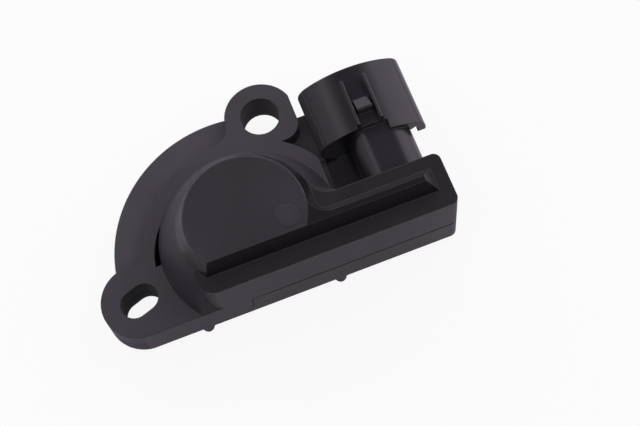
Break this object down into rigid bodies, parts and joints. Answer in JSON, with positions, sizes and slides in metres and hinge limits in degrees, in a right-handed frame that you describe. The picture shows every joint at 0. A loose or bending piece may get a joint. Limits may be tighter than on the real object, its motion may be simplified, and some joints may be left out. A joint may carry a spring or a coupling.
{
  "type": "throttle position sensor",
  "caption": "Flat rotary position sensor with a slotted ear and a round ear, a domed rotor chamber and a side-facing sealed connector; a sprung rotor takes the shaft from behind.",
  "frame": {"origin": "on the rotor axis, in the mounting face at the back of the flange", "axes": "+Z towards the domed front, +X along the long straight edge, +Y the way the connector mouth faces"},
  "size_m": [0.0771, 0.0456, 0.0245],
  "materials": {
    "moulded_black": "fine satin grain",
    "cover_black": "fine satin grain",
    "bearing_plastic": "smooth",
    "seal_rubber": "matt",
    "spring_steel": "rolled",
    "rotor_plastic": "smooth",
    "brush_bronze": "rolled",
    "spring_wire": "drawn wire",
    "board": "smooth",
    "track_ink": "printed",
    "collector_ink": "printed",
    "terminal_metal": "tin plated",
    "potting": "cured resin"
  },
  "bodies": {
    "case": {"housing": "moulded_black", "back_cover": "cover_black", "bearing_ring": "bearing_plastic", "rotor_seal": "seal_rubber", "wave_washer": "spring_steel", "return_spring": "spring_wire", "element_board": "board", "resistive_track": "track_ink", "collector_track": "collector_ink", "pad_supply": "collector_ink", "pad_signal": "collector_ink", "pad_ground": "collector_ink", "terminal_supply": "terminal_metal", "terminal_signal": "terminal_metal", "terminal_ground": "terminal_metal", "terminal_sealant": "potting"},
    "rotor": {"rotor": "rotor_plastic", "wiper_brush": "brush_bronze"}
  },
  "joints": [
    {"name": "rotor_turn", "type": "hinge", "parent": "case", "child": "rotor", "pos_m": [0, 0, 0], "axis": [0, 0, 1], "range_deg": [0, 100], "stiffness_Nm_per_rad": 0.004, "springref_deg": -28.65, "deforming": ["return_spring"]}
  ]
}
